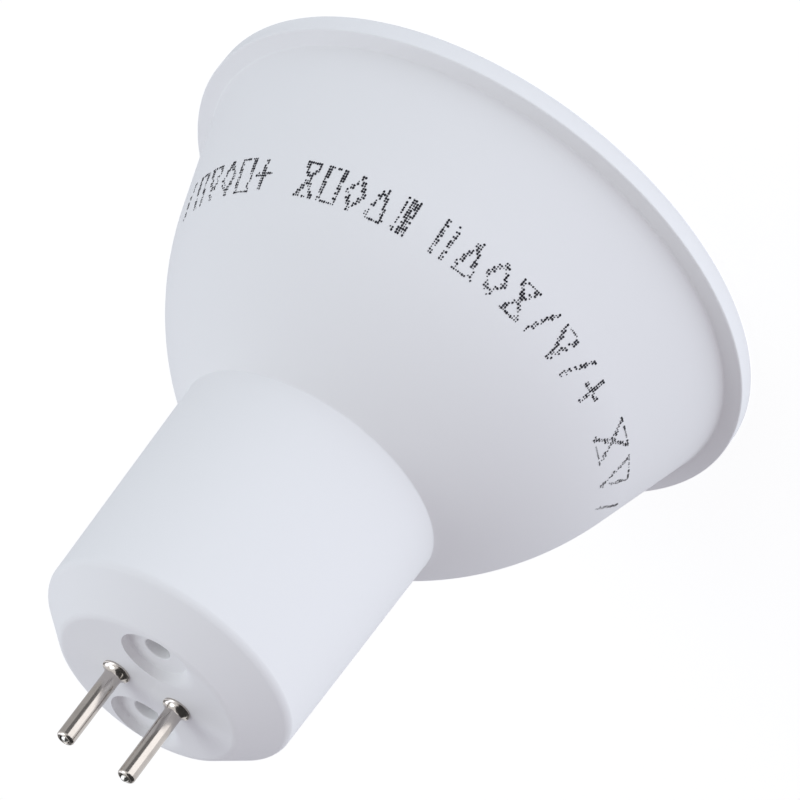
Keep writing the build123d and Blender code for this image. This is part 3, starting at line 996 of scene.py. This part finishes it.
    def _stepped_hole(self, axis: Point) -> bpy.types.Object:
        """Turns the body of a vacant stepped hole and ramps its mouth towards -X.

        Args:
            axis: Where the hole lies, in x and y.

        Returns:
            The body that is cut out.
        """
        mouth = self.vacant_mouth_radius
        ledge = self.face_z - self.vacant_mouth_depth
        bottom = self.face_z - self.vacant_hole_depth
        rings = [self.face_z + rise for rise, _ in self.vacant_ramp]
        form = TurnedForm("stepped_hole", (0.0, rings[-1]), axis)
        form.line(
            (mouth + self.vacant_flare, rings[-1]),
            *((mouth, height) for height in reversed(rings[:-1])),
            (mouth, ledge),
            (self.vacant_hole_radius, ledge),
            (self.vacant_hole_radius, bottom),
            (0.0, bottom),
        )
        form.soften((mouth, ledge), self.vacant_ledge_round, 4)
        form.soften((self.vacant_hole_radius, ledge), self.vacant_ledge_round, 4)
        form.soften((self.vacant_hole_radius, bottom), self.vacant_bottom_round, 4)
        cutter = form.spin(self.vacant_steps)
        Bench.activate(cutter)
        bpy.ops.object.mode_set(mode="EDIT")
        for height, (_, reach) in zip(rings, self.vacant_ramp):
            Bench.pick(cutter, Element.CORNER, lambda co, height=height: abs(co.z - height) < SAME)
            wall = Vector((axis[0] + mouth, axis[1], height)) * MM
            bpy.ops.transform.resize(value=(1 + reach / (2 * mouth), 1, 1), center_override=wall)
        Bench.close()
        return cutter

    def _pin_bore(self, axis: Point) -> bpy.types.Object:
        """Turns the body of a contact pin's bore through end wall and boss.

        Args:
            axis: Where the pin stands, in x and y.

        Returns:
            The body that is cut out.
        """
        floor = self.face_z - self.boss_depth - self.bore_overshoot
        top = self.face_z + self.bore_overshoot
        form = TurnedForm("pin_bore", (0.0, floor), axis)
        form.line((self.pin_bore_radius, floor), (self.pin_bore_radius, top), (0.0, top))
        return form.spin(self.bore_steps)

    def build(self) -> bpy.types.Object:
        """Models the shell with its bosses, guide ribs, bores and stepped holes.

        Returns:
            The finished shell.
        """
        shell = self._shell()
        pins = [(side * self.pin_spacing / 2, 0.0) for side in (-1, 1)]
        vacant = [(self.vacant_shift, side * self.vacant_spacing / 2) for side in (-1, 1)]
        for axis in pins:
            Bench.combine(shell, self._boss(self.pin_boss_radius, axis), Joinery.JOIN)
        for axis in vacant:
            Bench.combine(shell, self._boss(self.vacant_boss_radius, axis), Joinery.JOIN)
        low_z = self.neck_root[1] + self.rib_gaps[0]
        high_z = self.face_z - self.boss_depth - self.rib_gaps[1]
        for low_y, high_y in self.rib_rows:
            for side in (-1, 1):
                near, far = sorted(side * reach for reach in self.rib_reach)
                rib = Bench.box("guide_rib", (near, low_y, low_z), (far, high_y, high_z))
                Bench.combine(shell, rib, Joinery.JOIN)
        for axis in pins:
            Bench.combine(shell, self._pin_bore(axis), Joinery.CUT)
        for axis in vacant:
            Bench.combine(shell, self._stepped_hole(axis), Joinery.CUT)
        Bench.smooth(shell, self.edge_angle)
        return shell

    def dress(self, shell: bpy.types.Object) -> None:
        """Gives the shell its plastic and puts it in the place of its CAD node.

        Args:
            shell: The finished shell.
        """
        shell.data.materials.append(WHITE_PLASTIC.make())
        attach(shell, BODY)
        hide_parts("housing")


class MarkShape(Enum):
    """Plain shapes of the printed run, as strokes in a unit cell, across and then down."""

    SLASH = (((0.85, 0.0), (0.15, 1.0)),)
    TWIN_BARS = (((0.2, 0.0), (0.2, 1.0)), ((0.8, 0.0), (0.8, 1.0)))
    BOX = (((0.1, 0.0), (0.9, 0.0), (0.9, 1.0), (0.1, 1.0), (0.1, 0.0)),)
    DIAMOND = (((0.5, 0.0), (0.95, 0.5), (0.5, 1.0), (0.05, 0.5), (0.5, 0.0)),)
    PEAK = (((0.05, 1.0), (0.5, 0.0), (0.95, 1.0), (0.05, 1.0)),)
    FUNNEL = (((0.05, 0.0), (0.95, 0.0), (0.5, 1.0), (0.05, 0.0)),)
    PLUS = (((0.5, 0.1), (0.5, 0.9)), ((0.05, 0.5), (0.95, 0.5)))
    HOURGLASS = (((0.05, 0.0), (0.95, 0.0), (0.05, 1.0), (0.95, 1.0), (0.05, 0.0)),)
    BLOCK = (((0.25, 0.05), (0.25, 0.95)), ((0.55, 0.05), (0.55, 0.95)), ((0.85, 0.05), (0.85, 0.95)))


@dataclass(frozen=True)
class MarkGroup:
    """Neighbouring marks of the printed run, between two angles about the axis."""

    start: float
    end: float
    marks: tuple[MarkShape, ...]
    fill: float
    fineness: float = 0.0


@dataclass
class PrintedRun:
    """Run of dotted ink marks around the bowl, each a plain shape made of small uneven dots."""

    housing: Housing
    heights: Point = (11.1, 13.9)
    rows: int = 14
    dot: float = 0.2
    margins: tuple[float, ...] = (0.02, 0.12, 0.22)
    stroke: float = 0.18
    mark_width: float = 0.74
    mark_inset: float = 0.08
    thinning: float = 0.35
    size_steps: Point = (0.2, -0.05)
    corner_cut: float = 28.0
    unevenness: float = 0.15
    stand_off: float = 0.012
    thickness: float = 0.006
    groups: tuple[MarkGroup, ...] = (
        MarkGroup(-14.0, -19.0, (MarkShape.SLASH,), 0.75, 0.15),
        MarkGroup(
            -20.5,
            -50.5,
            (MarkShape.BOX, MarkShape.FUNNEL, MarkShape.DIAMOND, MarkShape.BOX, MarkShape.PLUS),
            0.78,
            0.15,
        ),
        MarkGroup(
            -57.5,
            -88.0,
            (MarkShape.HOURGLASS, MarkShape.BOX, MarkShape.DIAMOND, MarkShape.PEAK, MarkShape.BLOCK),
            0.82,
        ),
        MarkGroup(
            -91.5,
            -146.0,
            (
                MarkShape.TWIN_BARS,
                MarkShape.PEAK,
                MarkShape.DIAMOND,
                MarkShape.HOURGLASS,
                MarkShape.SLASH,
                MarkShape.FUNNEL,
                MarkShape.SLASH,
                MarkShape.PLUS,
            ),
            0.82,
            0.2,
        ),
        MarkGroup(-152.0, -190.0, (MarkShape.HOURGLASS, MarkShape.FUNNEL, MarkShape.SLASH), 0.85, 0.4),
    )
    seed: int = 7
    seed_stride: int = 64

    def __post_init__(self) -> None:
        """Works out the strip of the bowl that the run covers and its division into dots."""
        low, high = (self.housing.arc_point(height) for height in self.heights)
        self.base_angle = self.housing.arc_angle(low)
        self.sweep = self.housing.arc_angle(high) - self.base_angle
        self.span = -self.groups[-1].end
        self.columns = round(math.radians(self.span) * low[0] / self.dot)

    @staticmethod
    def _turn(place: Vector) -> float:
        """Angle in degrees, clockwise from above, at which a place lies about the axis."""
        return -math.degrees(math.atan2(place.y, place.x)) % 360.0

    def _group(self, place: Vector) -> MarkGroup | None:
        """Group of marks that a place lies in, if any."""
        turn = self._turn(place)
        return next((group for group in self.groups if -group.start <= turn <= -group.end), None)

    def _chances(self, place: Vector) -> tuple[float, float]:
        """Repeatable random numbers of the dot that a place belongs to.

        Args:
            place: A point on the strip, in millimetres.

        Returns:
            Two numbers from 0 to 1, the same all over one dot.
        """
        turn = self._turn(place)
        rise = self.housing.arc_angle((math.hypot(place.x, place.y), place.z)) - self.base_angle
        column = int(turn / self.span * self.columns)
        row = int(rise / self.sweep * self.rows)
        chance = random.Random(self.seed + self.seed_stride * column + row)
        return chance.random(), chance.random()

    def _down(self, place: Vector) -> float:
        """How far down its mark a place lies, from 0 to 1."""
        low, high = self.heights
        return (place.z - low - self.mark_inset) / (high - low - 2 * self.mark_inset)

    def _size(self, place: Vector) -> int:
        """Sizes a dot: dots grow finer down the mark.

        Args:
            place: A point of the dot, in millimetres.

        Returns:
            Which of the margins the dot has.
        """
        group = self._group(place)
        draw = self._chances(place)[1] - self.thinning * self._down(place)
        draw -= group.fineness if group else 0.0
        return sum(draw <= limit for limit in self.size_steps)

    def _stroke_distance(self, shape: MarkShape, across: float, down: float, aspect: float) -> float:
        """Distance from a point of a mark's cell to the nearest stroke, in cell heights.

        Args:
            shape: The mark's shape.
            across: Place across the cell, from 0 to 1.
            down: Place down the cell, from 0 to 1.
            aspect: The cell's width over its height.

        Returns:
            The distance.
        """
        point = Vector((across * aspect, down))
        nearest = math.inf
        for stroke in shape.value:
            for (ax, ay), (bx, by) in zip(stroke, stroke[1:]):
                start, end = Vector((ax * aspect, ay)), Vector((bx * aspect, by))
                along = end - start
                share = max(0.0, min(1.0, (point - start).dot(along) / along.length_squared))
                nearest = min(nearest, (start + along * share - point).length)
        return nearest

    def _inked(self, place: Vector) -> bool:
        """Tells where the ink is.

        Args:
            place: A point on the bowl, in millimetres.

        Returns:
            Whether a dot of ink stands there.
        """
        group = self._group(place)
        if group is None:
            return False
        low, high = self.heights
        pitch = (group.start - group.end) / len(group.marks)
        along = (self._turn(place) + group.start) / pitch
        index = min(int(along), len(group.marks) - 1)
        across = (along - index - 0.5) / self.mark_width + 0.5
        radius = math.hypot(place.x, place.y)
        aspect = self.mark_width * math.radians(pitch) * radius / (high - low)
        near = self._stroke_distance(group.marks[index], across, self._down(place), aspect)
        return near * (high - low) < self.stroke and self._chances(place)[0] < group.fill

    def build(self) -> bpy.types.Object:
        """Models the run: a strip of the bowl is cut into dots, and all but the marks removed.

        Returns:
            The run.
        """
        form = TurnedForm("printed_run", self.housing.arc_point(self.heights[0], self.stand_off))
        form.arc(self.housing.arc_centre, self.sweep, self.rows)
        strip = form.spin(self.columns, self.span)
        Bench.activate(strip)
        bpy.ops.object.mode_set(mode="EDIT")
        Bench.pick(strip, Element.FACE, lambda co: not self._inked(co))
        bpy.ops.mesh.delete(type="FACE")
        bpy.ops.mesh.select_all(action="SELECT")
        bpy.ops.mesh.edge_split(type="EDGE")
        for size, margin in enumerate(self.margins):
            Bench.pick(strip, Element.FACE, lambda co, size=size: self._size(co) == size)
            bpy.ops.mesh.inset(thickness=margin * self.dot * MM, use_individual=True)
            bpy.ops.mesh.hide(unselected=False)
        bpy.ops.mesh.select_all(action="SELECT")
        bpy.ops.mesh.delete(type="FACE")
        bpy.ops.mesh.reveal(select=True)
        bpy.ops.mesh.bevel(offset_type="PERCENT", offset_pct=self.corner_cut, segments=1, affect="VERTICES")
        bpy.ops.mesh.select_all(action="SELECT")
        bpy.ops.transform.vertex_random(offset=self.unevenness * self.dot * MM, seed=self.seed)
        Bench.close()
        Bench.activate(strip)
        bpy.ops.object.modifier_add(type="SOLIDIFY")
        modifier = strip.modifiers[-1]
        modifier.thickness = self.thickness * MM
        modifier.offset = 0.0
        bpy.ops.object.modifier_apply(modifier=modifier.name)
        return strip

    def dress(self, strip: bpy.types.Object) -> None:
        """Gives the run its ink."""
        strip.data.materials.append(INK.make())
        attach(strip, BODY)


@dataclass
class ContactPins:
    """The two hollow contact pins with their flared collars."""

    housing: Housing
    radius: float = 0.725
    bore_radius: float = 0.425
    length: float = 6.95
    collar_radius: float = 1.175
    collar_height: float = 0.75
    collar_lip: float = 0.15
    lip_round: float = 0.06
    tip_round: float = 0.25
    mouth_round: float = 0.04
    flare_chords: int = 12
    steps: int = 64
    edge_angle: float = 40.0

    def __post_init__(self) -> None:
        """Works out the height of the tips."""
        self.tip_z = self.housing.face_z + self.length

    def _pin(self, name: str, axis: Point) -> bpy.types.Object:
        """Turns one pin.

        Args:
            name: Name of the pin.
            axis: Where it stands, in x and y.

        Returns:
            The pin.
        """
        face = self.housing.face_z
        foot = face - self.housing.boss_depth
        lip = (self.collar_radius, face + self.collar_lip)
        waist = (self.radius, face + self.collar_height)
        reach, drop = lip[0] - waist[0], waist[1] - lip[1]
        flare = (reach**2 + drop**2) / (2 * reach)
        centre = (waist[0] + flare, waist[1])
        sweep = math.degrees(math.atan2(drop, flare - reach))
        form = TurnedForm(name, (self.bore_radius, foot), axis)
        form.line((self.radius, foot), (self.radius, face), (self.collar_radius, face), lip)
        form.arc(centre, -sweep, self.flare_chords)
        form.line((self.radius, self.tip_z), (self.bore_radius, self.tip_z), (self.bore_radius, foot))
        form.soften(lip, self.lip_round, 3)
        form.soften((self.radius, self.tip_z), self.tip_round, 8)
        form.soften((self.bore_radius, self.tip_z), self.mouth_round, 3)
        pin = form.spin(self.steps)
        Bench.smooth(pin, self.edge_angle)
        return pin

    def build(self) -> dict[str, bpy.types.Object]:
        """Models one pin and copies it for the other side.

        Returns:
            The pins, by the names of their CAD nodes.
        """
        spacing = self.housing.pin_spacing
        left = self._pin("plated_pin_left", (-spacing / 2, 0.0))
        right = Bench.copy(left, "plated_pin_right", (spacing, 0.0, 0.0))
        return {"contact_pin_left": left, "contact_pin_right": right}

    def dress(self, pins: dict[str, bpy.types.Object]) -> None:
        """Gives the pins their plating and puts them in the place of their CAD nodes.

        Args:
            pins: The pins, by the names of their CAD nodes.
        """
        finish = NICKEL.make()
        for node, pin in pins.items():
            pin.data.materials.append(finish)
            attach(pin, BODY)
            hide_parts(node)


@dataclass
class WireEnds:
    """Soldered ends of the input leads, domed in the mouths of the hollow pins."""

    pins: ContactPins
    radius: float = 0.35
    depth: float = 0.17
    rises: Point = (0.24, 0.08)
    dome_chords: int = 8
    steps: int = 32
    edge_angle: float = 50.0

    def _end(self, name: str, axis: Point, rise: float) -> bpy.types.Object:
        """Turns one domed end.

        Args:
            name: Name of the piece.
            axis: Where its pin stands, in x and y.
            rise: How far the dome stands out of the pin.

        Returns:
            The end.
        """
        foot = self.pins.tip_z - self.depth
        height = self.depth + rise
        dome = (self.radius**2 + height**2) / (2 * height)
        centre = (0.0, foot + height - dome)
        sweep = 90.0 - math.degrees(math.atan2(dome - height, self.radius))
        form = TurnedForm(name, (0.0, foot), axis)
        form.line((self.radius, foot)).arc(centre, sweep, self.dome_chords)
        end = form.spin(self.steps)
        Bench.smooth(end, self.edge_angle)
        return end

    def build(self) -> list[bpy.types.Object]:
        """Models both ends, which stand out unevenly.

        Returns:
            The ends.
        """
        spacing = self.pins.housing.pin_spacing
        return [
            self._end(f"wire_end_{name}", (side * spacing / 2, 0.0), rise)
            for name, side, rise in zip(("left", "right"), (-1, 1), self.rises)
        ]

    def dress(self, ends: list[bpy.types.Object]) -> None:
        """Gives the ends their solder.

        Args:
            ends: The finished ends.
        """
        finish = SOLDER.make()
        for end in ends:
            end.data.materials.append(finish)
            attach(end, BODY)


@dataclass
class InnerParts:
    """Cover, light board, driver and wires, which keep their CAD shapes."""

    nodes: dict[str, bpy.types.Object]

    def dress(self) -> list[str]:
        """Gives each CAD node the finish of its material slot.

        Returns:
            The names of the dressed nodes.
        """
        made = {slot.value: finish.make() for slot, finish in INNER_FINISHES.items()}
        dressed = []
        for name, node in sorted(self.nodes.items()):
            for holder in node.material_slots:
                slot = holder.material.name.split(".")[0]
                if slot in made:
                    holder.material = made[slot]
                    dressed.append(name)
        return dressed


@dataclass(frozen=True)
class SoftBox:
    """A round soft light, aimed at the lamp."""

    name: str
    direction: Place
    distance: float
    diameter: float
    radiance: float
    colour: Colour

    def place(self, aim: Vector) -> None:
        """Hangs the light.

        Args:
            aim: The point that it faces, in metres.
        """
        spot = aim + Vector(self.direction).normalized() * self.distance * MM
        bpy.ops.object.light_add(type="AREA", location=spot)
        lamp = bpy.context.object
        lamp.name = self.name
        lamp.rotation_euler = (spot - aim).to_track_quat("Z", "Y").to_euler()
        lamp.data.shape = "DISK"
        lamp.data.size = self.diameter * MM
        area = math.pi * (self.diameter * MM / 2) ** 2
        lamp.data.energy = self.radiance * math.pi * area
        lamp.data.color = self.colour
        lamp.visible_camera = False


@dataclass(frozen=True)
class ReflectionCard:
    """A card near the lamp that faces its contact pins and shows only in bright metal."""

    name: str
    azimuth: float
    elevation: float
    distance: float
    width: float
    height: float
    strength: float

    def place(self, aim: Vector) -> None:
        """Hangs the card.

        Args:
            aim: The point that it faces, in metres.
        """
        turn, lift = math.radians(self.azimuth), math.radians(self.elevation)
        out = Vector((math.cos(turn) * math.cos(lift), math.sin(turn) * math.cos(lift), math.sin(lift)))
        bpy.ops.mesh.primitive_plane_add(size=MM, location=aim + out * self.distance * MM)
        card = bpy.context.object
        card.name = self.name
        card.rotation_euler = (-out).to_track_quat("Z", "Y").to_euler()
        card.scale = (self.width, self.height, 1.0)
        graph = FinishGraph(self.name)
        graph.put(
            Base_Color=BLACK,
            Roughness=1.0,
            Specular_IOR_Level=0.0,
            Emission_Color=WHITE,
            Emission_Strength=self.strength,
        )
        card.data.materials.append(graph.material)
        for ray in ("camera", "diffuse", "transmission", "volume_scatter", "shadow"):
            setattr(card, f"visible_{ray}", False)


@dataclass
class Studio:
    """White floor, soft lights and the camera."""

    aim: Place = (-2.165, 0.198, 14.562)
    azimuth: float = -11.4
    elevation: float = 29.326
    roll: float = -143.217
    distance: float = 340.1
    lens: float = 197.87
    sensor: float = 36.0
    near_clip: float = 10.0
    floor_span: float = 4000.0
    floor_centre: Point = (200.0, 0.0)
    floor_gap: float = 0.05
    floor_glow: float = 0.86
    floor_bounce: float = 0.84
    floor_slope: Place = (-0.52, -0.40, 0.0)
    slope_start: Point = (21.5, 28.0)
    floor_tint: Colour = (0.94, 1.0, 1.085)
    floor_tone: Colour = (0.2, 0.2, 0.2)
    sky: Colour = (0.43, 0.415, 0.46)
    lights: tuple[SoftBox, ...] = (
        SoftBox("left_softbox", (0.627, 0.439, 0.643), 600.0, 560.0, 1.27, (0.83, 0.89, 1.0)),
        SoftBox("top_softbox", (0.612, -0.354, 0.707), 600.0, 420.0, 2.42, (0.91, 1.0, 1.0)),
        SoftBox("front_softbox", (-0.807, -0.565, 0.174), 600.0, 560.0, 0.5, (1.0, 0.93, 0.95)),
    )
    pins_middle: Place = (0.0, 0.0, 50.0)
    cards: tuple[ReflectionCard, ...] = (
        ReflectionCard("bright_card", -125.0, -21.4, 75.2, 95.0, 48.0, 1.8),
        ReflectionCard("dark_card", -71.0, -21.7, 74.3, 54.0, 48.0, 0.2),
        ReflectionCard("grey_card", 10.0, -21.4, 78.0, 300.0, 48.0, 0.6),
        ReflectionCard("shade_card", -170.0, 40.0, 120.0, 420.0, 300.0, 0.06),
        ReflectionCard("back_card", 80.0, 30.0, 200.0, 230.0, 150.0, 0.2),
    )

    def _camera(self) -> None:
        """Sets the camera at the photograph's viewing angle."""
        turn = (
            Matrix.Rotation(math.radians(self.azimuth), 4, "Z")
            @ Matrix.Rotation(math.radians(90.0 - self.elevation), 4, "X")
            @ Matrix.Rotation(math.radians(self.roll), 4, "Z")
        )
        back = turn @ Vector((0.0, 0.0, 1.0))
        bpy.ops.object.camera_add()
        camera = bpy.context.object
        camera.name = "photo_camera"
        camera.matrix_world = Matrix.Translation((Vector(self.aim) + back * self.distance) * MM) @ turn
        camera.data.sensor_width = self.sensor
        camera.data.lens = self.lens
        camera.data.clip_start = self.near_clip * MM
        bpy.context.scene.camera = camera

    def _floor(self) -> None:
        """Lays the white floor, which is clear when seen from below."""
        bpy.ops.mesh.primitive_plane_add(
            size=self.floor_span * MM, location=Vector((*self.floor_centre, -self.floor_gap)) * MM
        )
        floor = bpy.context.object
        floor.name = "studio_floor"
        graph = FinishGraph("white_floor")
        seen = graph.shown_rays()
        place = graph.mapped((-self.floor_centre[0], -self.floor_centre[1], 0.0))
        away = graph.node("ShaderNodeVectorMath", {"operation": "NORMALIZE"}, {0: place})
        side = graph.node(
            "ShaderNodeVectorMath", {"operation": "DOT_PRODUCT"}, {0: away.outputs[0], 1: self.floor_slope}
        )
        reach = graph.node("ShaderNodeVectorMath", {"operation": "LENGTH"}, {0: place})
        start, full = (radius * MM for radius in self.slope_start)
        fade = Scalar(graph, reach.outputs["Value"]).step(start, full)
        bounce = self.floor_bounce + Scalar(graph, side.outputs["Value"]) * fade
        level = self.floor_glow * seen + bounce * (1 - seen)
        tint = graph.blend(seen, self.floor_tint, WHITE)
        glow = graph.node("ShaderNodeVectorMath", {"operation": "SCALE"}, {0: tint, "Scale": level})
        shine = graph.node("ShaderNodeEmission", None, {"Color": glow.outputs[0]})
        matte = graph.node("ShaderNodeBsdfDiffuse", None, {"Color": self.floor_tone})
        both = graph.node("ShaderNodeAddShader", None, {0: shine.outputs[0], 1: matte.outputs[0]})
        below = graph.node("ShaderNodeNewGeometry").outputs["Backfacing"]
        clear = graph.node("ShaderNodeBsdfTransparent")
        mixed = graph.node(
            "ShaderNodeMixShader", None, {0: below, 1: both.outputs[0], 2: clear.outputs[0]}
        )
        graph.feed(graph.tree.nodes["Material Output"].inputs["Surface"], mixed.outputs[0])
        floor.data.materials.append(graph.material)

    def _world(self) -> None:
        """Sets a dim sky that the camera, metal and glass see as white."""
        world = bpy.data.worlds.new("white_studio")
        world.use_nodes = True
        bpy.context.scene.world = world
        graph = NodeGraph(world.node_tree)
        sky = graph.blend(graph.shown_rays(), self.sky, WHITE)
        graph.feed(graph.tree.nodes["Background"].inputs["Color"], sky)

    def set_up(self) -> None:
        """Lays the floor, lights the lamp and places the camera."""
        bpy.context.scene.view_settings.view_transform = "Standard"
        self._floor()
        self._world()
        aim = Vector(self.aim) * MM
        for light in self.lights:
            light.place(aim)
        for card in self.cards:
            card.place(Vector(self.pins_middle) * MM)
        self._camera()


def main() -> None:
    """Loads the frame, builds and dresses the lamp's pieces, and sets the studio."""
    logging.basicConfig(level=logging.INFO, format="%(name)s: %(message)s")
    Bench.clear_scene()
    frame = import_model()
    housing = Housing()
    shell = housing.build()
    housing.dress(shell)
    LOG.info("housing: %d faces", len(shell.data.polygons))
    run = PrintedRun(housing)
    strip = run.build()
    run.dress(strip)
    LOG.info("printed run: %d faces", len(strip.data.polygons))
    pins = ContactPins(housing)
    plated = pins.build()
    pins.dress(plated)
    LOG.info("contact pins: %s", ", ".join(pin.name for pin in plated.values()))
    ends = WireEnds(pins)
    ends.dress(ends.build())
    LOG.info("dressed CAD nodes: %s", ", ".join(InnerParts(frame["nodes"]).dress()))
    Studio().set_up()


if __name__ == "__main__":
    main()
